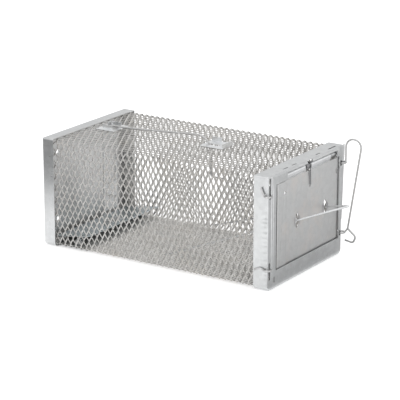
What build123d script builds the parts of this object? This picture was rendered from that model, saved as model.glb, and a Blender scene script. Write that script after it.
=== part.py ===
from build123d import *
import os
from math import cos, radians, sin

# Live catch trap: a tube of diamond mesh held between a pressed rear cap and a front
# frame, with a sprung door that swings inward and up, a floor treadle whose upright
# works a trip rod on the roof, a wire lock lever through the door, a hairpin rod
# hooked into the far front corner and two wire ties in the near one.
# Millimetres. +X runs along the cage toward the door, +Y to its left, +Z is up.
# The cage stands on z = 0 and x = y = 0 is the middle of the whole outline.

# ---- driving dimensions ----
CAGE_LENGTH = 265.0
CAGE_WIDTH = 142.0
CAGE_HEIGHT = 113.0
HANDLE_REACH = 40.0      # lock lever in front of the front frame
SHEET = 0.8              # galvanised sheet
WIRE = 1.9               # rods and lever

X_REAR = -(CAGE_LENGTH + HANDLE_REACH) / 2
X_FRONT = X_REAR + CAGE_LENGTH
HALF_WIDTH = CAGE_WIDTH / 2
WIRE_R = WIRE / 2
ROOF_UNDER = CAGE_HEIGHT - SHEET

# caps
CAP_DEPTH = 13.5
FRAME_DEPTH = 16.0
BOTTOM_CORNER = 5.0
REAR_HOLE_D = 5.0
REAR_HOLE_SPACING_Y = 96.0
REAR_HOLE_SPACING_Z = 71.0
REAR_HOLE_MIDDLE_Z = 58.0

# expanded mesh, at twice the pitch of the real strands and the same open share
MESH_T = 1.0
MESH_PITCH_X = 14.0
MESH_PITCH_LONG = 26.0
STRAND_X = 2.6           # solid between openings, along the cage
STRAND_LONG = 4.8        # solid between openings, round the cage
MESH_BACK = X_REAR + SHEET
MESH_FRONT = X_FRONT - 8.0
MESH_LENGTH = MESH_FRONT - MESH_BACK
MESH_MIDDLE = (MESH_FRONT + MESH_BACK) / 2
MESH_COLUMNS = 17
ROOF_PAD = (21.0, 23.0)  # plain patch round each roof slot

# doorway: the near lip is the wide one
DOORWAY_NEAR = -57.0
DOORWAY_FAR = 64.5
DOORWAY_LOW = 18.0
DOORWAY_HIGH = 109.5
DOORWAY_SHOULDER = 102.9     # lower at both ends of the hinge
HINGE_SPAN = (-36.4, 59.2)

# cut-outs of the front frame
SPRING_NOTCH = (9.5, 5.4)
SPRING_MIDDLE = 5.75
CORNER_SLOT_WIDTH = 3.2
CORNER_SLOT_HIGH = (101.0, 20.0)     # middle and length
CORNER_SLOT_LOW = (19.5, 17.0)
SILL_SLIT = (1.6, 6.0)
SILL_SLIT_AT = (-59.0, 9.5)
FOLD_SLOT_X = X_FRONT - 3.0
FOLD_SLOT_WIDTH = 1.6
FOLD_SLOTS = ((-35.0, 8.0), (-19.0, 8.0), (26.0, 8.0), (54.0, 15.0))     # middle and length
RING_HOLE_R = 1.6

# door and its hinge
DOOR_GAP = 0.35          # behind the lips
DOOR_NEAR = -61.0
DOOR_FAR = 66.0
DOOR_LOW = 13.5
DOOR_HIGH = 102.5
DOOR_RETURN = 4.2
PIN_R = 1.8
PIN_CLEARANCE = 0.05
KNUCKLE_R = PIN_R + PIN_CLEARANCE + SHEET
HINGE_X = X_FRONT - SHEET - DOOR_GAP - KNUCKLE_R
HINGE_Z = 106.0
DOOR_KNUCKLES = ((-36.0, 0.5), (11.0, 49.0))
FRAME_KNUCKLES = ((-46.0, -36.6), (49.6, 59.0))
DOOR_FACE = X_FRONT - SHEET - DOOR_GAP
DOOR_MID = DOOR_FACE - SHEET / 2
SPRING_HOLE = (9.0, 85.5)
SPRING_HOLE_R = 1.3
NEAR_HOLE = (-38.0, 90.0)
FAR_HOLE = (61.0, 88.0)
FAR_HOLE_LENGTH = 5.6
SMALL_HOLE = 3.2

# lock lever
LEVER_Y = 12.5
LEVER_HALF_SPAN = 27.0
LEVER_Z = 56.5
LEVER_SLOT = (5.0, 14.0)
GUIDE = (9.2, 12.0)
GUIDE_GAP = 7.2
GUIDE_T = 0.6
HANDLE_Z = 71.0
LEG_BEND_R = 6.0
HANDLE_BEND_R = 2.2

# treadle, upright and trip rod
TREADLE_X = X_REAR + 32.0
TREADLE_Z = 6.0
TREADLE_TILT = 9.2
TREADLE_DEPTH = 43.5
TREADLE_WIDTH = 122.0
TREADLE_MIDDLE = (TREADLE_X - 3.1, 11.1)
AXLE_R = 1.2
EAR_Y = 50.0
BRACKET_Y = 55.0
BRACKET_WIDTH = 9.0
BRACKET_EYE_R = 2.8
BRACKET_FOOT = 8.0
EAR_R = 3.0
EAR_RISE = 5.8
UPRIGHT_T = 1.0
UPRIGHT_WIDTH = 24.0
ROD_Z = 114.6
HOOK_X = X_REAR + 155.4
HOOK_Z = 79.6
TOE_LENGTH = 14.4
FINGER_SLOT = (14.0, 8.0)        # roof slot of the upright's finger
FINGER_SLOT_X = TREADLE_X + 3.3
HOOK_SLOT = (13.0, 5.0)          # roof slot of the rod's hook
HOOK_SLOT_X = HOOK_X + 3.3

# rod and ties at the front corners
RING_R = 3.4
RING_HIGH = 94.5
RING_LOW = 22.0
EAR_REACH = 4.3          # far lip's ear, beside the corner
EAR_LOW = 35.0
EAR_SHOULDER = 5.0
EAR_NOTCH = (4.4, 3.2)

os.makedirs("parts", exist_ok=True)


def write(piece, name):
    """Labels a finished piece and writes its STEP file."""
    piece.label = name
    export_step(piece, f"parts/{name}.step")


def diamonds(columns, rows):
    """Two staggered grids of diamond openings, long axis along the sketch's Y."""
    half_x = (MESH_PITCH_X - STRAND_X) / 2
    half_y = (MESH_PITCH_LONG - STRAND_LONG) / 2
    with BuildSketch() as openings:
        with GridLocations(MESH_PITCH_X, MESH_PITCH_LONG, columns, rows):
            Polygon((half_x, 0), (0, half_y), (-half_x, 0), (0, -half_y))
        with GridLocations(MESH_PITCH_X, MESH_PITCH_LONG, columns - 1, rows - 1):
            Polygon((half_x, 0), (0, half_y), (-half_x, 0), (0, -half_y))
    return openings.sketch


# ---- rear cap: an open tray with four fixing holes ----
with BuildPart() as rear_cap:
    with BuildSketch(Plane.YZ.offset(X_REAR)):
        with Locations((0, CAGE_HEIGHT / 2)):
            Rectangle(CAGE_WIDTH, CAGE_HEIGHT)
    extrude(amount=CAP_DEPTH)
    fillet(rear_cap.edges().filter_by(Axis.X).group_by(Axis.Z)[0], radius=BOTTOM_CORNER)
    offset(amount=-SHEET, openings=rear_cap.faces().sort_by(Axis.X)[-1])
    with BuildSketch(Plane.YZ.offset(X_REAR)):
        with Locations((0, REAR_HOLE_MIDDLE_Z)):
            with GridLocations(REAR_HOLE_SPACING_Y, REAR_HOLE_SPACING_Z, 2, 2):
                Circle(REAR_HOLE_D / 2)
    extrude(amount=SHEET, mode=Mode.SUBTRACT)
write(rear_cap.part, "rear_cap")


# ---- front frame: tray with the doorway, corner slots and the fixed hinge knuckles ----
with BuildPart() as front_frame:
    with BuildSketch(Plane.YZ.offset(X_FRONT - FRAME_DEPTH)):
        with Locations((0, CAGE_HEIGHT / 2)):
            Rectangle(CAGE_WIDTH, CAGE_HEIGHT)
    extrude(amount=FRAME_DEPTH)
    fillet(front_frame.edges().filter_by(Axis.X).group_by(Axis.Z)[0], radius=BOTTOM_CORNER)
    offset(amount=-SHEET, openings=front_frame.faces().sort_by(Axis.X)[0])
    # doorway, with a notch over the closing spring
    with BuildSketch(Plane.YZ.offset(X_FRONT - SHEET)):
        with Locations(((DOORWAY_NEAR + DOORWAY_FAR) / 2, (DOORWAY_LOW + DOORWAY_SHOULDER) / 2)):
            Rectangle(DOORWAY_FAR - DOORWAY_NEAR, DOORWAY_SHOULDER - DOORWAY_LOW)
        with Locations((sum(HINGE_SPAN) / 2, (DOORWAY_LOW + DOORWAY_HIGH) / 2)):
            Rectangle(HINGE_SPAN[1] - HINGE_SPAN[0], DOORWAY_HIGH - DOORWAY_LOW)
        with Locations((SPRING_MIDDLE, DOORWAY_HIGH)):
            Rectangle(*SPRING_NOTCH)
        # corner slots for the side rods' rings
        for middle, length in (CORNER_SLOT_HIGH, CORNER_SLOT_LOW):
            with Locations((-HALF_WIDTH + RING_R, middle), (HALF_WIDTH - RING_R, middle)):
                Rectangle(CORNER_SLOT_WIDTH, length)
        with Locations(SILL_SLIT_AT):
            Rectangle(*SILL_SLIT)
    extrude(amount=SHEET, mode=Mode.SUBTRACT)
    # ear that widens the far lip toward the top, notched for the rod's ring
    with BuildSketch(Plane.YZ.offset(X_FRONT - SHEET)):
        Polygon((HALF_WIDTH - SHEET, CAGE_HEIGHT), (HALF_WIDTH - SHEET, EAR_LOW), (HALF_WIDTH, EAR_LOW),
                (HALF_WIDTH + EAR_REACH, CAGE_HEIGHT - EAR_SHOULDER),
                (HALF_WIDTH + EAR_REACH, CAGE_HEIGHT),
                align=None)
        with Locations((HALF_WIDTH + RING_R, RING_HIGH)):
            Rectangle(*EAR_NOTCH, mode=Mode.SUBTRACT)
    extrude(amount=SHEET)
    # round holes for the same rings, through both side flanges
    with BuildSketch(Plane.XZ):
        with Locations((X_FRONT - RING_R, RING_HIGH), (X_FRONT - RING_R, RING_LOW)):
            Circle(RING_HOLE_R)
    extrude(amount=HALF_WIDTH + 1, both=True, mode=Mode.SUBTRACT)
    # slots along the fold of the top flange
    with BuildSketch(Plane.XY.offset(ROOF_UNDER)):
        for middle, length in FOLD_SLOTS:
            with Locations((FOLD_SLOT_X, middle)):
                Rectangle(FOLD_SLOT_WIDTH, length)
    extrude(amount=SHEET, mode=Mode.SUBTRACT)
    # fixed knuckles, each hung from the top flange by a short web
    for near, far in FRAME_KNUCKLES:
        with BuildSketch(Plane.XZ.offset(-near)):
            with Locations((HINGE_X, (HINGE_Z + ROOF_UNDER) / 2)):
                Rectangle(SHEET, ROOF_UNDER - HINGE_Z)
            with Locations((HINGE_X, HINGE_Z)):
                Circle(KNUCKLE_R)
                Circle(PIN_R + PIN_CLEARANCE, mode=Mode.SUBTRACT)
        extrude(amount=near - far)
write(front_frame.part, "front_frame")


# ---- mesh sides: perforated walls with a plain bend along the bottom edge ----
def mesh_side(side):
    """side is -1 for the near wall and +1 for the far one."""
    inner_corner = BOTTOM_CORNER - SHEET
    outer_y = HALF_WIDTH - SHEET
    low = BOTTOM_CORNER
    high = ROOF_UNDER - MESH_T
    wall_plane = Plane.XZ.offset(outer_y - MESH_T if side < 0 else -outer_y)
    with BuildPart() as wall:
        with BuildSketch(wall_plane):
            with Locations((MESH_MIDDLE, (low + high) / 2)):
                Rectangle(MESH_LENGTH, high - low)
                add(diamonds(MESH_COLUMNS, 4), mode=Mode.SUBTRACT)
        extrude(amount=MESH_T)
        with BuildSketch(Plane.YZ.offset(MESH_BACK)):
            with Locations((side * (outer_y - inner_corner), BOTTOM_CORNER)):
                Circle(inner_corner)
                Circle(inner_corner - MESH_T, mode=Mode.SUBTRACT)
            with Locations((side * (outer_y - inner_corner / 2), BOTTOM_CORNER - inner_corner / 2)):
                Rectangle(inner_corner, inner_corner, mode=Mode.INTERSECT)
        extrude(amount=MESH_LENGTH)
    return wall.part


write(mesh_side(-1), "mesh_side_near")
write(mesh_side(1), "mesh_side_far")


# ---- mesh roof, plain where the treadle upright and the hook pass through it ----
with BuildPart() as mesh_roof:
    with BuildSketch(Plane.XY.offset(ROOF_UNDER - MESH_T)):
        with Locations((MESH_MIDDLE, 0)):
            Rectangle(MESH_LENGTH, CAGE_WIDTH - 2 * SHEET)
            add(diamonds(MESH_COLUMNS, 5), mode=Mode.SUBTRACT)
        with Locations((FINGER_SLOT_X, 0), (HOOK_X + 5.0, 0)):
            Rectangle(*ROOF_PAD)
        with Locations((FINGER_SLOT_X, 0)):
            Rectangle(*FINGER_SLOT, mode=Mode.SUBTRACT)
        with Locations((HOOK_SLOT_X, 0)):
            Rectangle(*HOOK_SLOT, mode=Mode.SUBTRACT)
    extrude(amount=MESH_T)
write(mesh_roof.part, "mesh_roof")


# ---- mesh floor ----
with BuildPart() as mesh_floor:
    with BuildSketch(Plane.XY.offset(SHEET)):
        with Locations((MESH_MIDDLE, 0)):
            Rectangle(MESH_LENGTH, CAGE_WIDTH - 2 * BOTTOM_CORNER)
            add(diamonds(MESH_COLUMNS, 5), mode=Mode.SUBTRACT)
    extrude(amount=MESH_T)
write(mesh_floor.part, "mesh_floor")


# ---- hinge pin, headed at both ends ----
PIN_NEAR = FRAME_KNUCKLES[0][0] - 0.5
PIN_FAR = FRAME_KNUCKLES[1][1] + 0.5
PIN_HEAD = 1.2
with BuildPart() as hinge_pin:
    with BuildSketch(Plane.XZ.offset(-PIN_NEAR)):
        with Locations((HINGE_X, HINGE_Z)):
            Circle(PIN_R)
    extrude(amount=PIN_NEAR - PIN_FAR)
    for end, height in ((PIN_NEAR, PIN_HEAD), (PIN_FAR, -PIN_HEAD)):
        with BuildSketch(Plane.XZ.offset(-end)):
            with Locations((HINGE_X, HINGE_Z)):
                Circle(KNUCKLE_R)
        extrude(amount=height)
write(hinge_pin.part, "hinge_pin")


# ---- door panel, with returns on three edges and the swinging knuckles ----
with BuildPart() as door_panel:
    with BuildSketch(Plane.YZ.offset(DOOR_FACE - SHEET)):
        with Locations(((DOOR_NEAR + DOOR_FAR) / 2, (DOOR_LOW + DOOR_HIGH) / 2)):
            Rectangle(DOOR_FAR - DOOR_NEAR, DOOR_HIGH - DOOR_LOW)
        for near, far in DOOR_KNUCKLES:
            with Locations(((near + far) / 2, (DOOR_HIGH + HINGE_Z) / 2)):
                Rectangle(far - near, HINGE_Z - DOOR_HIGH)
    extrude(amount=SHEET)
    with BuildSketch(Plane.YZ.offset(DOOR_FACE - SHEET)):
        with Locations((DOOR_NEAR + SHEET / 2, (DOOR_LOW + DOOR_HIGH) / 2),
                       (DOOR_FAR - SHEET / 2, (DOOR_LOW + DOOR_HIGH) / 2)):
            Rectangle(SHEET, DOOR_HIGH - DOOR_LOW)
        with Locations(((DOOR_NEAR + DOOR_FAR) / 2, DOOR_LOW + SHEET / 2)):
            Rectangle(DOOR_FAR - DOOR_NEAR, SHEET)
    extrude(amount=-DOOR_RETURN)
    for near, far in DOOR_KNUCKLES:
        with BuildSketch(Plane.XZ.offset(-near)):
            with Locations((HINGE_X, HINGE_Z)):
                Circle(KNUCKLE_R)
        extrude(amount=near - far)
        with BuildSketch(Plane.XZ.offset(-near)):
            with Locations((HINGE_X, HINGE_Z)):
                Circle(PIN_R + PIN_CLEARANCE)
        extrude(amount=near - far, mode=Mode.SUBTRACT)
    # slots for the lock lever, the spring's hole and two small round holes
    with BuildSketch(Plane.YZ.offset(DOOR_FACE - SHEET)):
        with Locations((LEVER_Y - LEVER_HALF_SPAN, LEVER_Z), (LEVER_Y + LEVER_HALF_SPAN, LEVER_Z)):
            SlotOverall(LEVER_SLOT[1], LEVER_SLOT[0], rotation=90)
        with Locations(SPRING_HOLE):
            Circle(SPRING_HOLE_R)
        with Locations(NEAR_HOLE):
            Circle(SMALL_HOLE / 2)
        with Locations(FAR_HOLE):
            SlotOverall(FAR_HOLE_LENGTH, SMALL_HOLE, rotation=90)
    extrude(amount=SHEET, mode=Mode.SUBTRACT)
write(door_panel.part, "door_panel")


# ---- guides at both sides of each lever slot, standing on the door's face ----
with BuildPart() as lever_guides:
    with BuildSketch(Plane.YZ.offset(DOOR_FACE)):
        with Locations((LEVER_Y - LEVER_HALF_SPAN, LEVER_Z), (LEVER_Y + LEVER_HALF_SPAN, LEVER_Z)):
            SlotOverall(GUIDE[1], GUIDE[0], rotation=90)
            Rectangle(GUIDE_GAP, GUIDE[1], mode=Mode.SUBTRACT)
    extrude(amount=GUIDE_T)
write(lever_guides.part, "lever_guides")


# ---- closing spring: the coil and its roof leg stay, the last turn rides with the door ----
SPRING_R = 3.4
SPRING_WIRE_R = 0.55
SPRING_PITCH = 1.4


def spring_coil(start_y, turns):
    """One run of coil round the hinge axis, from start_y toward +Y."""
    axis = Plane(origin=(HINGE_X, start_y, HINGE_Z), x_dir=(0, 0, 1), z_dir=(0, 1, 0))
    with BuildPart() as coil:
        with BuildLine():
            path = Helix(SPRING_PITCH, SPRING_PITCH * turns, SPRING_R,
                         center=axis.origin, direction=axis.z_dir)
        with BuildSketch(Plane(origin=path @ 0, z_dir=path % 0)):
            Circle(SPRING_WIRE_R)
        sweep(path=path)
    return coil.part


def straight_wire(start, end, radius):
    """A straight round wire between two points."""
    run = Vector(*end) - Vector(*start)
    with BuildPart() as wire:
        with BuildSketch(Plane(origin=start, z_dir=run)):
            Circle(radius)
        extrude(amount=run.length)
    return wire.part


leg_top = HINGE_Z + SPRING_R
with BuildPart() as spring_body:
    add(spring_coil(1.6, 3))
    add(straight_wire((HINGE_X - 15.0, 1.3, leg_top), (HINGE_X, 1.3, leg_top), SPRING_WIRE_R))
write(spring_body.part, "spring_body")

leg_x = DOOR_FACE + SPRING_WIRE_R + 0.05
with BuildPart() as spring_door_leg:
    with BuildSketch(Plane.XZ.offset(-7.0)):
        with Locations((HINGE_X, HINGE_Z)):
            Circle(SPRING_R + SPRING_WIRE_R)
            Circle(SPRING_R - SPRING_WIRE_R, mode=Mode.SUBTRACT)
    extrude(amount=-2 * SPRING_WIRE_R)
    add(straight_wire((leg_x, 7.6, HINGE_Z), (leg_x, 8.8, 87.0), SPRING_WIRE_R))
write(spring_door_leg.part, "spring_door_leg")


# ---- lock lever: one wire, a pointed handle outside and two legs inside ----
def bent_wire(points, radii, wire_radius):
    """A round wire along straight runs joined by arcs."""
    with BuildPart() as wire:
        with BuildLine() as route:
            FilletPolyline(*points, radius=radii)
        with BuildSketch(Plane(origin=route.line @ 0, z_dir=route.line % 0)):
            Circle(wire_radius)
        sweep(path=route.line, transition=Transition.RIGHT)
    return wire.part


lever_near = LEVER_Y - LEVER_HALF_SPAN
lever_far = LEVER_Y + LEVER_HALF_SPAN
handle_x = X_FRONT + HANDLE_REACH + 1.003
lever_points = (
    (-25.0, lever_near - 25.0, 3.6),
    (DOOR_MID, lever_near, LEVER_Z),
    (handle_x, LEVER_Y, HANDLE_Z),
    (DOOR_MID, lever_far, LEVER_Z),
    (-31.4, lever_far + 21.0, 7.0),
)
lever_wire = bent_wire(lever_points, [LEG_BEND_R, HANDLE_BEND_R, LEG_BEND_R], WIRE_R)
write(lever_wire, "door_lever")


# ---- treadle: a tilted plate on two ears ----
treadle_plane = Plane(
    origin=(TREADLE_MIDDLE[0], 0, TREADLE_MIDDLE[1]),
    x_dir=(cos(radians(TREADLE_TILT)), 0, sin(radians(TREADLE_TILT))),
    z_dir=(-sin(radians(TREADLE_TILT)), 0, cos(radians(TREADLE_TILT))),
)
with BuildPart() as treadle_plate:
    with BuildSketch(treadle_plane):
        Rectangle(TREADLE_DEPTH, TREADLE_WIDTH)
    extrude(amount=SHEET)
    for y in (-EAR_Y, EAR_Y):
        with BuildSketch(Plane.XZ.offset(-y)):
            with Locations((TREADLE_X, TREADLE_Z)):
                Circle(EAR_R)
            with Locations((TREADLE_X, TREADLE_Z + EAR_RISE / 2)):
                Rectangle(2 * EAR_R, EAR_RISE)
            with Locations((TREADLE_X, TREADLE_Z)):
                Circle(AXLE_R + PIN_CLEARANCE, mode=Mode.SUBTRACT)
        extrude(amount=SHEET)
write(treadle_plate.part, "treadle_plate")


# ---- axle and its two floor brackets ----
write(straight_wire((TREADLE_X, -BRACKET_Y - 3, TREADLE_Z), (TREADLE_X, BRACKET_Y + 3, TREADLE_Z),
                    AXLE_R), "treadle_axle")

FLOOR = SHEET + MESH_T
with BuildPart() as axle_brackets:
    for side in (-1, 1):
        with BuildSketch(Plane.XZ.offset(-side * BRACKET_Y)):
            with Locations((TREADLE_X, (FLOOR + TREADLE_Z) / 2)):
                Rectangle(BRACKET_WIDTH, TREADLE_Z - FLOOR)
            with Locations((TREADLE_X, TREADLE_Z)):
                Circle(BRACKET_EYE_R)
                Circle(AXLE_R + 0.02, mode=Mode.SUBTRACT)
        extrude(amount=-side * SHEET)
        with BuildSketch(Plane.XY.offset(FLOOR)):
            with Locations((TREADLE_X, side * (BRACKET_Y + BRACKET_FOOT / 2))):
                Rectangle(BRACKET_WIDTH, BRACKET_FOOT)
        extrude(amount=SHEET)
write(axle_brackets.part, "axle_brackets")


# ---- upright on the treadle: foot, bait tab, open stiles and the finger through the roof ----
FOOT_Z = 13.0
STILE_TOP = 108.0
STILE = 2.4
FINGER = (6.0, 11.0)
FINGER_Z = 113.0
FINGER_HOLE_R = 1.7
UPPER_OPENING = (77.0, 46.0)     # middle and height
LOWER_OPENING = (20.5, 9.0)
FOOT_LENGTH = 9.6
RIVET_R = 2.0
RIVET_HEIGHT = 0.8
foot_plane = treadle_plane.offset(SHEET)
with BuildPart() as trip_upright:
    with BuildSketch(Plane.YZ.offset(TREADLE_X - UPRIGHT_T / 2)):
        with Locations((0, (FOOT_Z + STILE_TOP) / 2)):
            Rectangle(UPRIGHT_WIDTH, STILE_TOP - FOOT_Z)
        with Locations((0, FINGER_Z)):
            Rectangle(*FINGER)
        with Locations((0, ROD_Z)):
            Circle(FINGER_HOLE_R, mode=Mode.SUBTRACT)
        for middle, height in (UPPER_OPENING, LOWER_OPENING):
            with Locations((0, middle)):
                Rectangle(UPRIGHT_WIDTH - 2 * STILE, height, mode=Mode.SUBTRACT)
    extrude(amount=UPRIGHT_T)
    with BuildSketch(foot_plane):
        with Locations((TREADLE_X - TREADLE_MIDDLE[0] + FOOT_LENGTH / 2, 0)):
            Rectangle(FOOT_LENGTH, UPRIGHT_WIDTH)
    extrude(amount=UPRIGHT_T)
write(trip_upright.part, "trip_upright")

with BuildPart() as treadle_rivets:
    with BuildSketch(foot_plane.offset(UPRIGHT_T)):
        with Locations((9.0, -7.0), (9.0, 7.0)):
            Circle(RIVET_R)
    extrude(amount=RIVET_HEIGHT, taper=25)
write(treadle_rivets.part, "treadle_rivets")

bait_x = TREADLE_X + UPRIGHT_T / 2
bait_points = ((bait_x, 0, 40.0), (bait_x + 8.5, 0, 40.0), (bait_x + 12.5, 0, 46.0))
write(bent_wire(bait_points, [2.5], 0.7), "bait_hook")


# ---- trip rod: hooked through the finger, along the roof, then down to the toe ----
rod_back = TREADLE_X - UPRIGHT_T / 2 - WIRE_R - 0.4
rod_points = (
    (rod_back, 5.5, ROD_Z),
    (rod_back, 0, ROD_Z),
    (X_REAR + 64.0, 0, 115.4),
    (X_REAR + 144.0, 0, 120.8),
    (HOOK_X, 0, 112.0),
    (HOOK_X, 0, HOOK_Z),
    (HOOK_X + TOE_LENGTH, 0, HOOK_Z),
)
write(bent_wire(rod_points, [1.7, 60.0, 7.0, 6.0, 3.0], WIRE_R), "trip_rod")


# ---- roof saddles round the two slots, with upturned wings ----
REAR_SADDLE = (22.0, 26.0)
REAR_WING_Y = 8.0
REAR_WING_LENGTH = 12.0
FRONT_SADDLE = (26.0, 24.0)
WING_HEIGHT = 4.8

with BuildPart() as saddle_rear:
    with BuildSketch(Plane.XY.offset(ROOF_UNDER)):
        with Locations((FINGER_SLOT_X, 0)):
            Rectangle(*REAR_SADDLE)
            Rectangle(*FINGER_SLOT, mode=Mode.SUBTRACT)
    extrude(amount=SHEET)
    with BuildSketch(Plane.XY.offset(ROOF_UNDER)):
        with Locations((FINGER_SLOT_X, -REAR_WING_Y), (FINGER_SLOT_X, REAR_WING_Y)):
            Rectangle(REAR_WING_LENGTH, SHEET)
    extrude(amount=WING_HEIGHT)
write(saddle_rear.part, "saddle_rear")

with BuildPart() as saddle_front:
    with BuildSketch(Plane.XY.offset(ROOF_UNDER)):
        with Locations((HOOK_X + 6.0, 2.0)):
            Rectangle(*FRONT_SADDLE)
        with Locations((HOOK_SLOT_X, 0)):
            Rectangle(*HOOK_SLOT, mode=Mode.SUBTRACT)
    extrude(amount=SHEET)
    with BuildSketch(Plane.XY.offset(ROOF_UNDER)):
        with Locations((HOOK_X + 19.0 - SHEET / 2, 1.0)):
            Rectangle(SHEET, 18.0)
        with Locations((HOOK_X - 1.5, 14.0 - SHEET / 2)):
            Rectangle(11.0, SHEET)
    extrude(amount=WING_HEIGHT)
write(saddle_front.part, "saddle_front")


# ---- far corner: a rod with a ring through each corner hole and slot, a hairpin and a loop ----
hairpin = (
    (X_FRONT + RING_R, HALF_WIDTH, RING_HIGH),
    (X_FRONT + RING_R, HALF_WIDTH, 119.5),
    (X_FRONT + 21.6, HALF_WIDTH, 119.5),
    (X_FRONT + 7.2, HALF_WIDTH, 27.0),
    (X_FRONT + RING_R, HALF_WIDTH, RING_LOW),
)
loop = (
    (X_FRONT + 7.2, HALF_WIDTH, 27.0),
    (X_FRONT + 16.5, HALF_WIDTH, 19.5),
    (X_FRONT + 13.5, HALF_WIDTH, 13.0),
    (X_FRONT + 4.4, HALF_WIDTH, 14.4),
)
with BuildPart() as side_rod:
    add(bent_wire(hairpin, [8.5, 8.0, 2.0], WIRE_R))
    add(bent_wire(loop, [3.5, 3.0], WIRE_R))
    with Locations((X_FRONT, HALF_WIDTH, RING_HIGH), (X_FRONT, HALF_WIDTH, RING_LOW)):
        Torus(RING_R, WIRE_R)
write(side_rod.part, "side_rod")


# ---- near corner: a wire tie round the corner strip at each hole, with its tail on the flange ----
TAIL_Y = -HALF_WIDTH - WIRE_R - 0.35
tie_start = (X_FRONT - 2.9, TAIL_Y - 0.5)
with BuildPart() as corner_ties:
    with Locations((X_FRONT, -HALF_WIDTH, RING_HIGH), (X_FRONT, -HALF_WIDTH, RING_LOW)):
        Torus(RING_R, WIRE_R)
    add(bent_wire(((*tie_start, RING_HIGH), (X_FRONT - 5.0, TAIL_Y, 97.0), (X_FRONT - 7.4, TAIL_Y, 102.5)),
                  [1.2], WIRE_R))
    add(bent_wire(((*tie_start, RING_LOW), (X_FRONT - 8.0, TAIL_Y, 23.6), (X_FRONT - 14.0, TAIL_Y, 20.6)),
                  [4.0], WIRE_R))
write(corner_ties.part, "corner_ties")
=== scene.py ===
import math

import bmesh
import bpy
from mathutils import Matrix, Vector, noise


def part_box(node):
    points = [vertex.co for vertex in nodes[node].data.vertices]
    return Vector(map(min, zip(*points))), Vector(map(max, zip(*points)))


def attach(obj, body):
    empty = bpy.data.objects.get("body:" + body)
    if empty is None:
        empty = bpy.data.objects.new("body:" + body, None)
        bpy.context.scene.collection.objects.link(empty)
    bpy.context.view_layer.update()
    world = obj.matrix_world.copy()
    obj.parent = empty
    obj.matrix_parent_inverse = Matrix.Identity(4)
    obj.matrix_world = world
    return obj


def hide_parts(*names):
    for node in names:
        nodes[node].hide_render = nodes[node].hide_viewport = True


# A live catch trap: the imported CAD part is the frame, and this script gives it its looks.
# Geometry is worked out in millimetres and scaled to metres when a piece is made.

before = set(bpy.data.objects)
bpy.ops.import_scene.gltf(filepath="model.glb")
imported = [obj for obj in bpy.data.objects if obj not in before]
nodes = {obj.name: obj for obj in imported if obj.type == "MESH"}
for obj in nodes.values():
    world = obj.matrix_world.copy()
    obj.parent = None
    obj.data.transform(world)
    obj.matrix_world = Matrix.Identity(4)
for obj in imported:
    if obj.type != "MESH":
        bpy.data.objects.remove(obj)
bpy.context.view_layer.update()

MM = 0.001
SHEET = 0.8              # thickness of the folded sheet


def box_mm(node):
    """A CAD node's lowest and highest corners in millimetres."""
    low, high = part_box(node)
    return low / MM, high / MM


rear_low, rear_high = box_mm("rear_cap")
front_low, front_high = box_mm("front_frame")
door_low, door_high = box_mm("door_panel")
pin_low, pin_high = box_mm("hinge_pin")
HINGE_X = (pin_low.x + pin_high.x) / 2
HINGE_Z = (pin_low.z + pin_high.z) / 2
KNUCKLE_R = (pin_high.z - pin_low.z) / 2
HALF_WIDTH = rear_high.y
HEIGHT = front_high.z
FRAME_FACE = front_high.x
FRAME_DEPTH = front_high.x - front_low.x


# ---- camera, floor and light ----
AIM = Vector((-0.010075, 0.0, 0.05309))
AZIMUTH = math.radians(33.19)
ELEVATION = math.radians(16.83)
DISTANCE = 1.954
LENS = 175.8


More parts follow.
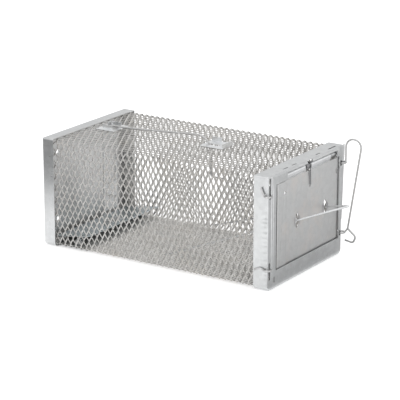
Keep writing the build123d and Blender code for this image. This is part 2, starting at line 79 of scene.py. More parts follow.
def studio():
    """The camera at the photograph's angle, a pale floor, a white surround and soft lights."""
    back = Vector((math.sin(AZIMUTH) * math.cos(ELEVATION),
                   -math.cos(AZIMUTH) * math.cos(ELEVATION),
                   math.sin(ELEVATION)))
    camera = bpy.data.objects.new("camera", bpy.data.cameras.new("camera"))
    camera.data.lens = LENS
    camera.data.clip_start = 0.01
    camera.location = AIM + back * DISTANCE
    camera.rotation_euler = (-back).to_track_quat("-Z", "Y").to_euler()
    bpy.context.scene.collection.objects.link(camera)
    bpy.context.scene.camera = camera

    world = bpy.data.worlds.new("surround")
    world.use_nodes = True
    background = world.node_tree.nodes["Background"]
    background.inputs["Color"].default_value = (1.0, 1.0, 1.0, 1.0)
    background.inputs["Strength"].default_value = 0.85
    bpy.context.scene.world = world

    bpy.ops.mesh.primitive_plane_add(size=8.0, location=(0, 0, 0))
    floor = bpy.context.object
    floor.name = "floor"
    material = bpy.data.materials.new("floor_paper")
    material.use_nodes = True
    shader = material.node_tree.nodes["Principled BSDF"]
    shader.inputs["Base Color"].default_value = (0.93, 0.93, 0.93, 1.0)
    shader.inputs["Roughness"].default_value = 0.9
    shader.inputs["Emission Color"].default_value = (1.0, 1.0, 1.0, 1.0)
    shader.inputs["Emission Strength"].default_value = 0.35
    floor.data.materials.append(material)

    # cards on the floor, out of the camera's sight, for the bare metal to mirror
    for name, place, size, grey in (
        ("dark_card", (-0.62, -0.60, 0.001), (0.80, 0.76, 1.0), 0.01),
        ("grey_card", (0.34, 0.21, 0.001), (0.45, 0.62, 1.0), 0.6),
        # a painted shadow: a near-black card below the treadle that the metal mirrors in place of the
        # shade under the trap
        ("under_shadow_card", (-0.126, 0.0, 0.0004), (0.05, 0.134, 1.0), 0.02),     # below the treadle
    ):
        bpy.ops.mesh.primitive_plane_add(size=1.0, location=place)
        card = bpy.context.object
        card.name = name
        card.scale = size
        card.visible_camera = False
        card.visible_diffuse = False
        card.visible_shadow = False
        paper = bpy.data.materials.new(name)
        paper.use_nodes = True
        tone = paper.node_tree.nodes["Principled BSDF"].inputs["Base Color"]
        tone.default_value = (grey, grey, grey, 1.0)
        card.data.materials.append(paper)

    for name, place, size, power in (
        ("key", (-0.5, -1.6, 1.5), 1.2, 6.0),
        ("fill", (1.6, -0.3, 1.1), 1.4, 2.0),
        ("top", (0.0, 0.5, 1.9), 1.6, 6.0),
    ):
        lamp = bpy.data.objects.new(name, bpy.data.lights.new(name, "AREA"))
        lamp.data.size = size
        lamp.data.energy = power
        lamp.location = place
        aim = AIM - Vector(place)
        lamp.rotation_euler = aim.to_track_quat("-Z", "Y").to_euler()
        bpy.context.scene.collection.objects.link(lamp)
    bpy.context.scene.view_settings.view_transform = "Standard"


# ---- materials ----
def metal(name, colour, roughness, *, cells=0.0, tint=(0.62, 0.57, 0.5), stain=0.0,
          scratch=(1.0, 1.0, 1.0), scratch_bump=0.1, grain=900.0, wave_bump=0.0):
    """Bare metal: zinc crystals, faint stains, fine drawn lines and a broad unevenness.

    scratch is how much each axis of the fine grain is stretched (small is long)."""
    material = bpy.data.materials.new(name)
    material.use_nodes = True
    tree = material.node_tree
    shader = tree.nodes["Principled BSDF"]
    shader.inputs["Metallic"].default_value = 1.0

    def node(kind, **values):
        made = tree.nodes.new(kind)
        for key, value in values.items():
            if key in made.inputs:
                made.inputs[key].default_value = value
            else:
                setattr(made, key, value)
        return made

    def link(start, out, end, into):
        tree.links.new(start.outputs[out], end.inputs[into])

    where = node("ShaderNodeTexCoord")
    crystals = node("ShaderNodeTexVoronoi", Scale=240.0)
    link(where, "Object", crystals, "Vector")
    crystal_tone = node("ShaderNodeSeparateColor")
    link(crystals, "Color", crystal_tone, "Color")

    clouds = node("ShaderNodeTexNoise", Scale=38.0, Detail=4.0, Roughness=0.6)
    link(where, "Object", clouds, "Vector")

    stretch = node("ShaderNodeMapping")
    stretch.inputs["Scale"].default_value = scratch
    link(where, "Object", stretch, "Vector")
    lines = node("ShaderNodeTexNoise", Scale=grain, Detail=3.0, Roughness=0.65)
    link(stretch, "Vector", lines, "Vector")

    # colour: crystal to crystal, then cloudy stains
    shade = node("ShaderNodeMapRange")
    shade.inputs["To Min"].default_value = 1.0 - cells
    shade.inputs["To Max"].default_value = 1.0 + cells
    link(crystal_tone, "Red", shade, "Value")
    toned = node("ShaderNodeMix", data_type="RGBA", blend_type="MULTIPLY")
    toned.inputs["Factor"].default_value = 1.0
    toned.inputs["A"].default_value = (*colour, 1.0)
    link(shade, "Result", toned, "B")
    stained = node("ShaderNodeMix", data_type="RGBA", blend_type="MIX")
    stained.inputs["B"].default_value = (*tint, 1.0)
    patches = node("ShaderNodeMapRange")
    patches.inputs["From Min"].default_value = 0.48
    patches.inputs["From Max"].default_value = 0.72
    patches.inputs["To Max"].default_value = stain
    link(clouds, "Fac", patches, "Value")
    link(patches, "Result", stained, "Factor")
    link(toned, "Result", stained, "A")
    link(stained, "Result", shader, "Base Color")

    # roughness: crystals and drawn lines
    rough = node("ShaderNodeMapRange")
    rough.inputs["To Min"].default_value = roughness - 0.09
    rough.inputs["To Max"].default_value = roughness + 0.12
    link(lines, "Fac", rough, "Value")
    link(rough, "Result", shader, "Roughness")

    # relief: drawn lines over a broad unevenness
    broad = node("ShaderNodeTexNoise", Scale=22.0, Detail=1.0)
    link(where, "Object", broad, "Vector")
    waves = node("ShaderNodeBump", Strength=wave_bump, Distance=0.0016)
    link(broad, "Fac", waves, "Height")
    fine = node("ShaderNodeBump", Strength=scratch_bump, Distance=0.0002)
    link(lines, "Fac", fine, "Height")
    link(waves, "Normal", fine, "Normal")
    link(fine, "Normal", shader, "Normal")
    return material


ZINC = (0.62, 0.63, 0.635)
sheet_metal = metal("galvanised_sheet", ZINC, 0.36, cells=0.05, stain=0.05,
                    scratch=(1.0, 1.0, 0.12), scratch_bump=0.25, wave_bump=0.2)
cap_metal = metal("galvanised_cap", ZINC, 0.3, cells=0.05, stain=0.04,
                  scratch=(0.15, 0.15, 1.0), scratch_bump=0.1, wave_bump=0.2)
door_metal = metal("galvanised_door", (0.65, 0.655, 0.655), 0.42, cells=0.035, stain=0.45,
                   tint=(0.78, 0.7, 0.65), scratch=(1.0, 0.1, 1.0), scratch_bump=0.18,
                   wave_bump=0.3)
# a lighter copy of the zinc for the rear cap's inside faces: painted light
inside_lit_metal = metal("galvanised_inside_lit_copy", (0.72, 0.72, 0.72), 0.5, cells=0.05, stain=0.05,
                    scratch=(1.0, 1.0, 0.15), scratch_bump=0.2, wave_bump=0.2)
# shinier zinc for the hinge leaf, lever and saddles, with its colour raised above the sheet's as a painted
# highlight
highlight_metal = metal("galvanised_painted_highlight", (0.8, 0.81, 0.82), 0.28, cells=0.05,
                     scratch_bump=0.15, wave_bump=0.2)
# near-black copy of the zinc: painted shade for the door's groove beside the near lip
groove_shade_metal = metal("galvanised_groove_painted_shade", (0.12, 0.12, 0.12), 0.5, cells=0.05, stain=0.1)
plate_metal = metal("galvanised_treadle", (0.62, 0.68, 0.71), 0.4, cells=0.06, stain=0.02,
                    scratch=(1.0, 0.12, 1.0), scratch_bump=0.2, wave_bump=0.2)
mesh_metal = metal("galvanised_mesh", (0.64, 0.63, 0.615), 0.52, cells=0.1, stain=0.25,
                   scratch=(1.0, 1.0, 1.0), scratch_bump=0.3, grain=1500.0)
wire_metal = metal("steel_wire", (0.56, 0.56, 0.56), 0.34, cells=0.03, stain=0.15,
                   scratch=(0.2, 1.0, 0.2), scratch_bump=0.15, grain=2500.0)
spring_metal = metal("spring_wire", (0.3, 0.3, 0.31), 0.3, stain=0.1, grain=2500.0)
fastener_metal = metal("zinc_fastener", (0.6, 0.6, 0.61), 0.33, cells=0.04, stain=0.1,
                       scratch_bump=0.15)


# ---- mesh making ----
def smooth(obj, angle=35.0):
    """Smooth shading, but not across edges sharper than the angle."""
    for polygon in obj.data.polygons:
        polygon.use_smooth = True
    with bpy.context.temp_override(object=obj, active_object=obj, selected_editable_objects=[obj]):
        bpy.ops.object.shade_smooth_by_angle(angle=math.radians(angle))
    flat = obj.modifiers.new("flat_faces", "WEIGHTED_NORMAL")
    flat.keep_sharp = True


def add_object(name, bm):
    """A new object from a bmesh in millimetres."""
    bmesh.ops.scale(bm, vec=(MM, MM, MM), verts=bm.verts)
    mesh = bpy.data.meshes.new(name)
    bm.to_mesh(mesh)
    bm.free()
    obj = bpy.data.objects.new(name, mesh)
    bpy.context.scene.collection.objects.link(obj)
    return obj


def baked(obj):
    """Puts the object's modifiers into its mesh."""
    graph = bpy.context.evaluated_depsgraph_get()
    mesh = bpy.data.meshes.new_from_object(obj.evaluated_get(graph))
    obj.modifiers.clear()
    obj.data = mesh
    return obj


def thicken(obj, thickness, offset=-1.0, inner_slot=0):
    """Gives a surface its sheet thickness, inward from its outer face."""
    layer = obj.modifiers.new("sheet", "SOLIDIFY")
    layer.material_offset = inner_slot
    layer.thickness = thickness * MM
    layer.offset = offset
    return baked(obj)


def ease_edges(obj, width):
    """Takes the sharp edge off the cut sheet."""
    bevel = obj.modifiers.new("edge", "BEVEL")
    bevel.width = width * MM
    bevel.segments = 2
    bevel.limit_method = "ANGLE"
    bevel.angle_limit = math.radians(50.0)
    return baked(obj)


def block(low, high):
    """A cutter block between two corners, in millimetres."""
    bm = bmesh.new()
    bmesh.ops.create_cube(bm, size=1.0)
    size = Vector(high) - Vector(low)
    middle = (Vector(high) + Vector(low)) / 2
    stretch = Matrix.Diagonal((*size, 1))
    bmesh.ops.transform(bm, verts=bm.verts, matrix=Matrix.Translation(middle) @ stretch)
    return bm


def drill(centre, axis, radius, length):
    """A round cutter along an axis, in millimetres."""
    bm = bmesh.new()
    bmesh.ops.create_cone(bm, cap_ends=True, segments=32, radius1=radius, radius2=radius, depth=length)
    turn = Vector((0, 0, 1)).rotation_difference(Vector(axis)).to_matrix().to_4x4()
    bmesh.ops.transform(bm, verts=bm.verts, matrix=Matrix.Translation(centre) @ turn)
    return bm


def slot_cutters(face, y, z, width, height):
    """An upright slot with round ends through a panel at x = face."""
    reach = (height - width) / 2
    ends = [drill((face, y, z + side * reach), (1, 0, 0), width / 2, 8.0) for side in (-1, 1)]
    return ends + [block((face - 3.9, y - width / 2, z - reach), (face + 3.9, y + width / 2, z + reach))]


def cut(obj, cutters):
    """Cuts every cutter out of the object."""
    tools = [add_object("cutter", bm) for bm in cutters]
    for tool in tools:
        cutting = obj.modifiers.new("cut", "BOOLEAN")
        cutting.object = tool
        cutting.solver = "EXACT"
    baked(obj)
    for tool in tools:
        bpy.data.objects.remove(tool)
    return obj


def finished(obj, material, body, *replaced, slot="galvanised_sheet"):
    """Material unless it has one, body and the CAD nodes that the piece stands for; the slot argument is
    not used.
    """
    if not obj.data.materials:
        obj.data.materials.append(material)
    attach(obj, body)
    if replaced:
        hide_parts(*replaced)
    return obj


# ---- expanded mesh sleeve ----
PITCH_X = 6.57
PITCH_ROUND = 12.42
BEND_R = 4.2
STRAND_T = 0.45
TILT_RISE = 0.95
BOND_HALF_X = 1.15
BOND_HALF_FLAT = 0.4
BOND_HALF_LONG = 1.6
STRAND_STEPS = 3
MESH_SHORT = 8.0         # the mesh ends this far behind the front face
# openings in the roof for the upright's finger and the trip rod's hook: (x, y) corners
FINGER_OPENING = ((-124.6, -4.4), (-109.6, 4.4))
HOOK_OPENING = ((-0.8, -3.0), (13.2, 3.0))


def sleeve_profile(half_width, low, high, radius):
    """A function from distance round the tube to (y, z, outward y, outward z), and the whole way."""
    wide = 2 * (half_width - radius)
    tall = high - low - 2 * radius
    arc = math.pi * radius / 2
    runs = (
        ((-half_width + radius, low), (1, 0), wide),
        ((half_width, low + radius), (0, 1), tall),
        ((half_width - radius, high), (-1, 0), wide),
        ((-half_width, high - radius), (0, -1), tall),
    )
    around = 2 * (wide + tall) + 4 * arc

    def at(distance):
        distance %= around
        for (y, z), (along_y, along_z), length in runs:
            out_y, out_z = along_z, -along_y
            if distance <= length:
                return y + along_y * distance, z + along_z * distance, out_y, out_z
            distance -= length
            if distance <= arc:
                turn = distance / radius
                end_y = y + along_y * length - out_y * radius
                end_z = z + along_z * length - out_z * radius
                ny = out_y * math.cos(turn) + along_y * math.sin(turn)
                nz = out_z * math.cos(turn) + along_z * math.sin(turn)
                return end_y + ny * radius, end_z + nz * radius, ny, nz
            distance -= arc
        return at(0.0)

    return at, around


def mesh_sleeve(name, openings):
    """Expanded sheet wrapped round the cage: bonds on a staggered grid, joined by tilted strands."""
    back = rear_low.x + SHEET + BOND_HALF_X
    front = FRAME_FACE - MESH_SHORT - BOND_HALF_X
    columns = round((front - back) / (PITCH_X / 2))
    step_x = (front - back) / columns
    skin = TILT_RISE + STRAND_T / 2
    at, around = sleeve_profile(HALF_WIDTH - SHEET - skin, SHEET + skin, HEIGHT - SHEET - skin, BEND_R)
    rows = 2 * round(around / PITCH_ROUND)
    step_round = around / rows

    hexagon = {
        "top": (0, BOND_HALF_LONG, 0), "right_up": (BOND_HALF_X, BOND_HALF_FLAT, TILT_RISE),
        "right_down": (BOND_HALF_X, -BOND_HALF_FLAT, TILT_RISE), "bottom": (0, -BOND_HALF_LONG, 0),
        "left_down": (-BOND_HALF_X, -BOND_HALF_FLAT, -TILT_RISE),
        "left_up": (-BOND_HALF_X, BOND_HALF_FLAT, -TILT_RISE),
    }
    bm = bmesh.new()

    def place(x, distance, rise):
        y, z, ny, nz = at(distance)
        return Vector((x, y + ny * rise, z + nz * rise))

    def in_opening(x, distance):
        y, z, _, nz = at(distance)
        return nz > 0.5 and any(low[0] < x < high[0] and low[1] < y < high[1] for low, high in openings)

    def corner(column, row, key):
        dx, along, rise = hexagon[key]
        return (back + column * step_x + dx, row * step_round + along, rise)

    bonds = {}
    for column in range(columns + 1):
        for row in range(rows):
            if (column + row) % 2 or in_opening(back + column * step_x, row * step_round):
                continue
            bonds[column, row] = {key: bm.verts.new(place(*corner(column, row, key))) for key in hexagon}
    for found in bonds.values():
        bm.faces.new([found[key] for key in hexagon])

    def strand(first, start_keys, end_keys, end_column, end_row):
        """Quads from one bond's slanted edge to the next bond's."""
        column, row = first
        last = end_column, end_row % rows
        if last not in bonds:
            return
        start = [corner(column, row, key) for key in start_keys]
        end = [corner(end_column, end_row, key) for key in end_keys]
        middle = [(a + b) / 2 for a, b in zip(start[0], end[0])]
        if in_opening(middle[0], middle[1]):
            return
        edge = [bonds[first][key] for key in start_keys]
        for k in range(1, STRAND_STEPS + 1):
            if k == STRAND_STEPS:
                following = [bonds[last][key] for key in end_keys]
            else:
                share = k / STRAND_STEPS
                following = [
                    bm.verts.new(place(*[a + (b - a) * share for a, b in zip(start[side], end[side])]))
                    for side in (0, 1)
                ]
            bm.faces.new((edge[0], edge[1], following[1], following[0]))
            edge = following

    for column, row in list(bonds):
        strand((column, row), ("top", "right_up"), ("left_down", "bottom"), column + 1, row + 1)
        strand((column, row), ("left_up", "top"), ("bottom", "right_down"), column - 1, row + 1)
    bmesh.ops.recalc_face_normals(bm, faces=bm.faces)
    obj = thicken(add_object(name, bm), STRAND_T, offset=0.0)
    smooth(obj, 50.0)
    return obj


# ---- folded trays: the rear cap and the front frame ----
FOLD_R = 1.4
BOTTOM_R = 5.0
TOP_R = 1.5
SIDE_STEPS = 100
LEVEL_STEPS = 40
CORNER_STEPS = 6
FOLD_STEPS = 5


def outline(inset):
    """Points (y, z) round a tray, pulled in by inset: bottom, far side, top, near side."""
    def arc(centre_y, centre_z, radius, start):
        return [(centre_y + radius * math.cos(start + math.pi / 2 * k / CORNER_STEPS),
                 centre_z + radius * math.sin(start + math.pi / 2 * k / CORNER_STEPS))
                for k in range(CORNER_STEPS + 1)]

    def run(start, end, steps):
        return [(start[0] + (end[0] - start[0]) * k / steps, start[1] + (end[1] - start[1]) * k / steps)
                for k in range(1, steps)]

    corners = []
    for y, z, radius, start in (
        (1, 0, BOTTOM_R, -math.pi / 2), (1, 1, TOP_R, 0.0),
        (-1, 1, TOP_R, math.pi / 2), (-1, 0, BOTTOM_R, math.pi),
    ):
        centre = max(radius, inset + 0.05)
        centre_z = centre if z == 0 else HEIGHT - centre
        corners.append(arc(y * (HALF_WIDTH - centre), centre_z, centre - inset, start))
    points = []
    for k, steps in enumerate((SIDE_STEPS, LEVEL_STEPS, SIDE_STEPS, LEVEL_STEPS)):
        following = corners[(k + 1) % 4]
        points += corners[k] + run(corners[k][-1], following[0], steps)
    return points


def tray(face_x, depth, facing, flange_steps=10):
    """An open tray as one surface: the panel at face_x and its flanges, folded away from facing."""
    bm = bmesh.new()
    stations = []
    for k in range(FOLD_STEPS + 1):
        turn = math.pi / 2 * k / FOLD_STEPS
        stations.append((FOLD_R * (1 - math.cos(turn)), FOLD_R * (1 - math.sin(turn))))
    for k in range(1, flange_steps + 1):
        stations.append((FOLD_R + (depth - FOLD_R) * k / flange_steps, 0.0))
    loops = [[bm.verts.new((face_x - facing * back, y, z)) for y, z in outline(inset)]
             for back, inset in stations]
    panel = bm.faces.new(loops[0])
    for outer, inner in zip(loops, loops[1:]):
        for k in range(len(outer)):
            following = (k + 1) % len(outer)
            bm.faces.new((outer[k], outer[following], inner[following], inner[k]))
    bmesh.ops.recalc_face_normals(bm, faces=bm.faces)
    if panel.normal.x * facing < 0:
        bmesh.ops.reverse_faces(bm, faces=bm.faces)
    return bm


def score(bm, face_x, across, levels):
    """Adds lines to the panel at these y and z, so that it can be pressed."""
    for axis, places in ((1, across), (2, levels)):
        for place in places:
            normal = Vector((0, 0, 0))
            normal[axis] = 1.0
            point = normal * place
            panel = [f for f in bm.faces if all(abs(v.co.x - face_x) < 1e-4 for v in f.verts)]
            edges = list({e for f in panel for e in f.edges})
            corners = list({v for f in panel for v in f.verts})
            bmesh.ops.bisect_plane(bm, geom=panel + edges + corners, dist=1e-5,
                                   plane_co=point, plane_no=normal)


def ramp(value, start, end):
    """0 at start, 1 at end, smooth between."""
    share = min(1.0, max(0.0, (value - start) / (end - start)))
    return share * share * (3 - 2 * share)


def rolled_strip(profile, ranges):
    """Strips of sheet with the same (x, z) profile, one for each range of y."""
    bm = bmesh.new()
    for near, far in ranges:
        steps = max(2, round((far - near) / 3.0))
        rows = [[bm.verts.new((x, near + (far - near) * k / steps, z)) for x, z in profile]
                for k in range(steps + 1)]
        for first, second in zip(rows, rows[1:]):
            for k in range(len(profile) - 1):
                bm.faces.new((first[k], first[k + 1], second[k + 1], second[k]))
    return bm


def knuckle_arc(start, end, radius, steps=22):
    """Points round the hinge axis; angles in degrees from +X, anticlockwise seen from -Y."""
    return [(HINGE_X + radius * math.cos(math.radians(start + (end - start) * k / steps)),
             HINGE_Z + radius * math.sin(math.radians(start + (end - start) * k / steps)))
            for k in range(steps + 1)]


REAR_HOLE_R = 2.5
REAR_HOLE_MIDDLE_Z = 58.0
REAR_HOLE_HALF_Y = 48.0
REAR_HOLE_HALF_Z = 35.5


def rear_cap_piece():
    """The rear cap: a tray with four fixing holes."""
    bm = tray(rear_low.x, rear_high.x - rear_low.x, -1)
    obj = add_object("rear_cap_shell", bm)
    obj.data.materials.append(cap_metal)
    # the inside faces take the lighter copy of the zinc: painted light
    obj.data.materials.append(inside_lit_metal)
    thicken(obj, SHEET, inner_slot=1)
    holes = [drill((rear_low.x, y, REAR_HOLE_MIDDLE_Z + z), (1, 0, 0), REAR_HOLE_R, 6.0)
             for y in (-REAR_HOLE_HALF_Y, REAR_HOLE_HALF_Y)
             for z in (-REAR_HOLE_HALF_Z, REAR_HOLE_HALF_Z)]
    cut(obj, holes)
    ease_edges(obj, 0.15)
    smooth(obj)
    return finished(obj, cap_metal, "root", "rear_cap")


# the front frame's doorway: (y, z) of its lowest and highest corners, and its raised hem
DOORWAY = ((-57.0, 18.0), (64.5, 109.5))
HINGE_SPAN = (-36.4, 59.2)
SHOULDER = 102.9         # the doorway's top at both ends of the hinge
HEM = 4.6
HEM_RISE = 0.55
HEM_SOFT = 0.7
LIP_GROOVE = (-66.2, -65.5, -64.5, -63.8)
LIP_GROOVE_DEPTH = 0.6
PANEL_LEVELS = (6.0, 30.0, 52.0, 76.0, 98.0)
CRIMP_DEPTH = 0.6

# cut-outs of the front frame
SPRING_NOTCH = (1.0, 10.5)
SPRING_NOTCH_TOP = 112.2
SILL_SLIT = ((-59.8, 6.5), (-58.2, 12.5))
CORNER_SLOT_HALF = 1.6
NEAR_SLOTS = ((91.0, 111.0), (11.0, 28.0))
FAR_SLOTS = ((91.9, 97.1), (19.4, 24.6))
FOLD_SLOTS = ((-35.0, 8.0), (-19.0, 8.0), (26.0, 8.0), (54.0, 15.0))     # middle and length
FOLD_SLOT_BACK = (3.8, 2.2)
RING_R = 3.4
RING_HOLE_R = 1.6
RING_HIGH = 94.5
RING_LOW = 22.0
FRAME_KNUCKLES = ((-46.0, -36.6), (49.6, 59.0))

# the ear beside the far lip
EAR_LOW = 35.0
EAR_SHOULDER = 5.0
EAR_STEPS = 24
EAR_CURL = 0.5
EAR_NOTCH_HALF = (2.2, 1.6)


def corner_ear(face):
    """The ear that widens the far lip toward the top, notched for the rod's ring."""
    inner = HALF_WIDTH - 1.0
    outer = front_high.y
    slope_top = HEIGHT - EAR_SHOULDER
    bm = bmesh.new()
    rows = []
    for k in range(EAR_STEPS + 1):
        z = EAR_LOW + (HEIGHT - 0.6 - EAR_LOW) * k / EAR_STEPS
        reach = HALF_WIDTH + (outer - HALF_WIDTH) * min(1.0, (z - EAR_LOW) / (slope_top - EAR_LOW))
        curl = EAR_CURL * ramp(z, EAR_LOW, HEIGHT)
        rows.append([bm.verts.new((face - 0.02 - curl * share * share, inner + (reach - inner) * share, z))
                     for share in (0.0, 0.35, 0.7, 1.0)])
    for first, second in zip(rows, rows[1:]):
        for k in range(3):
            bm.faces.new((first[k], first[k + 1], second[k + 1], second[k]))
    bmesh.ops.recalc_face_normals(bm, faces=bm.faces)
    bm.faces.ensure_lookup_table()
    if bm.faces[0].normal.x < 0:
        bmesh.ops.reverse_faces(bm, faces=bm.faces)
    ear = thicken(add_object("corner_ear", bm), SHEET * 0.9)
    notch_y = HALF_WIDTH + RING_R
    half_y, half_z = EAR_NOTCH_HALF
    cut(ear, [block((face - 3, notch_y - half_y, RING_HIGH - half_z),
                    (face + 3, notch_y + half_y, RING_HIGH + half_z))])
    ease_edges(ear, 0.1)
    smooth(ear)
    return finished(ear, sheet_metal, "root")


def front_frame_piece():
    """The front frame: a tray with a hemmed doorway, corner slots, crimped flange and fixed knuckles."""
    face = FRAME_FACE
    bm = tray(face, FRAME_DEPTH, 1)
    (near, low), (far, high) = DOORWAY
    hem_near = near - HEM
    hem_low = low - HEM - 1.0
    hem_high = high + 1.2
    groove_start, groove_near, groove_far, groove_end = LIP_GROOVE
    score(bm, face,
          (hem_near - HEM_SOFT, hem_near, far - 0.6, far + 0.4, *LIP_GROOVE),
          (hem_low - HEM_SOFT, hem_low, hem_high, hem_high + HEM_SOFT, *PANEL_LEVELS))
    for v in bm.verts:
        if abs(v.co.x - face) < 1e-4:
            rise = (ramp(v.co.y, hem_near - HEM_SOFT, hem_near)
                    * ramp(-v.co.y, -far - 0.4, -far + 0.6)
                    * ramp(v.co.z, hem_low - HEM_SOFT, hem_low)
                    * ramp(-v.co.z, -hem_high - HEM_SOFT, -hem_high))
            groove = (ramp(v.co.y, groove_start, groove_near)
                      * ramp(-v.co.y, -groove_end, -groove_far) * ramp(v.co.z, 5.0, 6.5))
            v.co.x += HEM_RISE * rise - LIP_GROOVE_DEPTH * groove
        # crimps along the near flange's fold, and a slightly uneven flange edge
        if v.co.y < -HALF_WIDTH + 0.01 and face - 12.0 < v.co.x < face - FOLD_R + 0.1:
            crimp = math.sin(v.co.z * 0.66 + 0.6 * math.sin(v.co.z * 0.37)) ** 8
            fade = ramp(v.co.x, face - 8.5, face - 3.5) * ramp(-v.co.z, -86.0, -70.0)
            v.co.y += CRIMP_DEPTH * crimp * fade
        if v.co.x < face - FRAME_DEPTH + 0.1 and v.co.z > 3.0:
            v.co.x -= 0.15 * noise.noise(Vector((v.co.y * 0.11, v.co.z * 0.13, 4.0)))
    obj = thicken(add_object("front_frame_shell", bm), SHEET)
    corner = HALF_WIDTH - RING_R
    corner_ear(face)
    (slit_near, slit_low), (slit_far, slit_high) = SILL_SLIT
    cutters = [
        block((face - 4, near, low), (face + 3, far, SHOULDER)),
        block((face - 4, HINGE_SPAN[0], SHOULDER - 1), (face + 3, HINGE_SPAN[1], high)),
        block((face - 4, SPRING_NOTCH[0], high - 1), (face + 3, SPRING_NOTCH[1], SPRING_NOTCH_TOP)),
        block((face - 4, slit_near, slit_low), (face + 3, slit_far, slit_high)),
    ]
    for side, slots in ((-1, NEAR_SLOTS), (1, FAR_SLOTS)):
        for bottom, top in slots:
            cutters.append(block((face - 4, side * corner - CORNER_SLOT_HALF, bottom),
                                 (face + 3, side * corner + CORNER_SLOT_HALF, top)))
        for level in (RING_HIGH, RING_LOW):
            cutters.append(drill((face - RING_R, side * HALF_WIDTH, level), (0, 1, 0), RING_HOLE_R, 6.0))
    back, ahead = FOLD_SLOT_BACK
    for place, length in FOLD_SLOTS:
        cutters.append(block((face - back, place - length / 2, HEIGHT - 3),
                             (face - ahead, place + length / 2, HEIGHT + 2)))
    cut(obj, cutters)
    ease_edges(obj, 0.15)
    smooth(obj)

    hang = [(HINGE_X - KNUCKLE_R, HEIGHT - SHEET), (HINGE_X - KNUCKLE_R, HINGE_Z + 2.5)]
    rolls = rolled_strip(hang + knuckle_arc(180.0, 490.0, KNUCKLE_R)[1:], FRAME_KNUCKLES)
    knuckles = add_object("frame_knuckles", rolls)
    bm = bmesh.new()
    bm.from_mesh(knuckles.data)
    bmesh.ops.recalc_face_normals(bm, faces=bm.faces)
    bm.to_mesh(knuckles.data)
    bm.free()
    thicken(knuckles, SHEET * 0.8)
    smooth(knuckles)
    finished(knuckles, sheet_metal, "root")
    return finished(obj, sheet_metal, "root", "front_frame")


# the door: a groove beside the near lip with painted shade in it, holes as (y, z), and the lever's slots
DOOR_GAP = 0.35          # behind the frame's lips
DOOR_TOP = 101.4
DOOR_RETURN = 4.2
DOOR_FOLD = 0.9
DOOR_KNUCKLES = ((-36.0, 0.5), (11.0, 49.0))
GROOVE_NEAR = -55.0
GROOVE_FAR = -51.8
GROOVE_DEPTH = 1.8
SPRING_HOLE = (9.0, 85.5)
SPRING_HOLE_R = 1.3
NEAR_HOLE = (-38.0, 90.0)
FAR_HOLE = (61.0, 88.0)
FAR_HOLE_LENGTH = 5.6
SMALL_HOLE = 3.2
LEVER_ENDS = (-14.5, 39.5)
LEVER_Z = 56.5
LEVER_SLOT = (5.2, 14.4)
LEAF_FOOT = 98.0         # the hinge leaf, from behind the panel up to its knuckles
LEAF_BEND = (102.2, 103.0, 103.8)


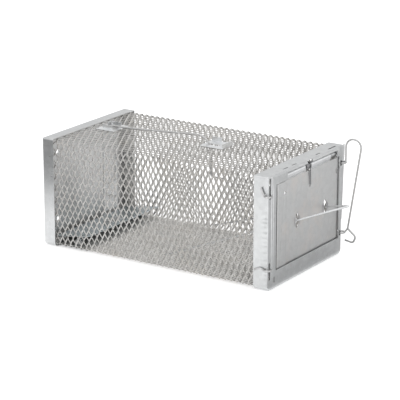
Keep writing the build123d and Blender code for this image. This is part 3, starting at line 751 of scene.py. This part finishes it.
def door_piece():
    """The door: a pressed panel with returns, and a hinge leaf rolled round the pin."""
    face = FRAME_FACE - SHEET - DOOR_GAP
    near, far, low = door_low.y, door_high.y, door_low.z
    high = DOOR_TOP
    depth = DOOR_RETURN
    fold = DOOR_FOLD

    def stations(first, last, fold_first, fold_last, pitch):
        """(place, drop) pairs across the panel, with a fold at either end where asked."""
        steps = round((last - first - 2 * fold) / pitch)
        inner = [(first + fold + (last - first - 2 * fold) * k / steps, 0.0) for k in range(steps + 1)]
        bend = [(fold * (1 - math.sin(t)), fold * (1 - math.cos(t)))
                for t in (math.pi / 2 * k / 4 for k in range(1, 5))]
        start = [(first + inset, drop) for inset, drop in reversed(bend)]
        end = [(last - inset, drop) for inset, drop in bend]
        start = [(first, depth)] + start if fold_first else [(first, 0.0)]
        end = end + [(last, depth)] if fold_last else [(last, 0.0)]
        return start + inner + end

    columns = stations(near, far, True, True, 0.8)
    rows = stations(low, high, True, False, 2.5)

    def pressed(y, z):
        """How far the panel stands out at a point: a step, a crease, the groove and oil-canning."""
        step = 0.45 * ramp(-y, 35.6, 36.6)
        warp = noise.noise(Vector((y * 0.028, z * 0.03, 1.0))) * 0.32
        across = ramp(y, near, near + 12) * ramp(-y, -far, -far + 12)
        edge = across * ramp(z, low, low + 12) * ramp(-z, -high, -high + 10)
        lever = -0.25 * math.exp(-((y - LEVER_ENDS[0]) ** 2 + (z - LEVER_Z) ** 2) / 50.0)
        crease_y = -47.0 + 9.0 * (z - low) / (high - low)
        crease = -0.3 * math.exp(-((y - crease_y) / 1.3) ** 2)
        sides = ramp(y, GROOVE_NEAR - 0.8, GROOVE_NEAR) * ramp(-y, -GROOVE_FAR, 0.8 - GROOVE_FAR)
        relief = step * ramp(y, near, near + 3) - 0.35 + warp * edge + lever + crease
        return relief * 0.9 - GROOVE_DEPTH * sides

    bm = bmesh.new()
    grid = [[bm.verts.new((face - side_drop - low_drop + pressed(y, z), y, z)) for z, low_drop in rows]
            for y, side_drop in columns]
    for i in range(len(columns) - 1):
        for j in range(len(rows) - 1):
            side_fold = columns[i][1] > 0 and columns[i + 1][1] > 0
            end_fold = rows[j][1] > 0 and rows[j + 1][1] > 0
            if side_fold and end_fold:
                continue
            cell = bm.faces.new((grid[i][j], grid[i + 1][j], grid[i + 1][j + 1], grid[i][j + 1]))
            # the groove's faces take the near-black material: painted shade
            if GROOVE_NEAR - 0.4 < cell.calc_center_median().y < GROOVE_FAR + 0.1:
                cell.material_index = 1
    bmesh.ops.recalc_face_normals(bm, faces=bm.faces)
    bm.faces.ensure_lookup_table()
    largest = max(bm.faces, key=lambda f: f.calc_area())
    if largest.normal.x < 0:
        bmesh.ops.reverse_faces(bm, faces=bm.faces)
    obj = add_object("door_shell", bm)
    obj.data.materials.append(door_metal)
    obj.data.materials.append(groove_shade_metal)
    thicken(obj, SHEET)
    cutters = [drill((face, *SPRING_HOLE), (1, 0, 0), SPRING_HOLE_R, 8.0)]
    cutters.append(drill((face, *NEAR_HOLE), (1, 0, 0), SMALL_HOLE / 2, 8.0))
    cutters += slot_cutters(face, *FAR_HOLE, SMALL_HOLE, FAR_HOLE_LENGTH)
    for y in LEVER_ENDS:
        cutters += slot_cutters(face, y, LEVER_Z, *LEVER_SLOT)
    cut(obj, cutters)
    ease_edges(obj, 0.12)
    smooth(obj)

    leaf_x = HINGE_X + KNUCKLE_R
    sunk = leaf_x - SHEET - 0.2
    start, middle, end = LEAF_BEND
    profile = [(sunk, LEAF_FOOT), (sunk, start), (leaf_x - 0.25, middle), (leaf_x, end)]
    profile += knuckle_arc(0.0, 290.0, KNUCKLE_R)
    bm = rolled_strip(profile, DOOR_KNUCKLES)
    bmesh.ops.recalc_face_normals(bm, faces=bm.faces)
    leaf = add_object("door_hinge_leaf", bm)
    thicken(leaf, SHEET * 0.8)
    ease_edges(leaf, 0.1)
    smooth(leaf)
    finished(leaf, highlight_metal, "door")
    return finished(obj, door_metal, "door", "door_panel")


# ---- CAD nodes that keep their shape ----
def finish_node(name, material, edge=0.0):
    """A kept CAD node's material, welded, with its sharp edges eased when an edge width is given."""
    obj = nodes[name]
    obj.data.materials.clear()
    obj.data.materials.append(material)
    weld = obj.modifiers.new("weld", "WELD")
    weld.merge_threshold = 0.002 * MM
    if edge:
        bevel = obj.modifiers.new("edge", "BEVEL")
        bevel.width = edge * MM
        bevel.segments = 2
        bevel.limit_method = "ANGLE"
        bevel.angle_limit = math.radians(50.0)


studio()

sleeve = mesh_sleeve("mesh_sleeve", (FINGER_OPENING, HOOK_OPENING))
finished(sleeve, mesh_metal, "root", "mesh_side_near", "mesh_side_far", "mesh_roof", "mesh_floor",
         slot="galvanised_mesh")
rear_cap_piece()
front_frame_piece()
door_piece()

finish_node("door_lever", highlight_metal)
for name in ("trip_rod", "side_rod", "corner_ties", "treadle_axle", "bait_hook"):
    finish_node(name, wire_metal)
for name in ("spring_body", "spring_door_leg"):
    finish_node(name, spring_metal)
for name in ("hinge_pin", "lever_guides", "treadle_rivets"):
    finish_node(name, fastener_metal, 0.12)
for name in ("saddle_rear", "saddle_front"):
    finish_node(name, highlight_metal, 0.15)
for name in ("axle_brackets", "trip_upright"):
    finish_node(name, sheet_metal, 0.15)
finish_node("treadle_plate", plate_metal, 0.2)
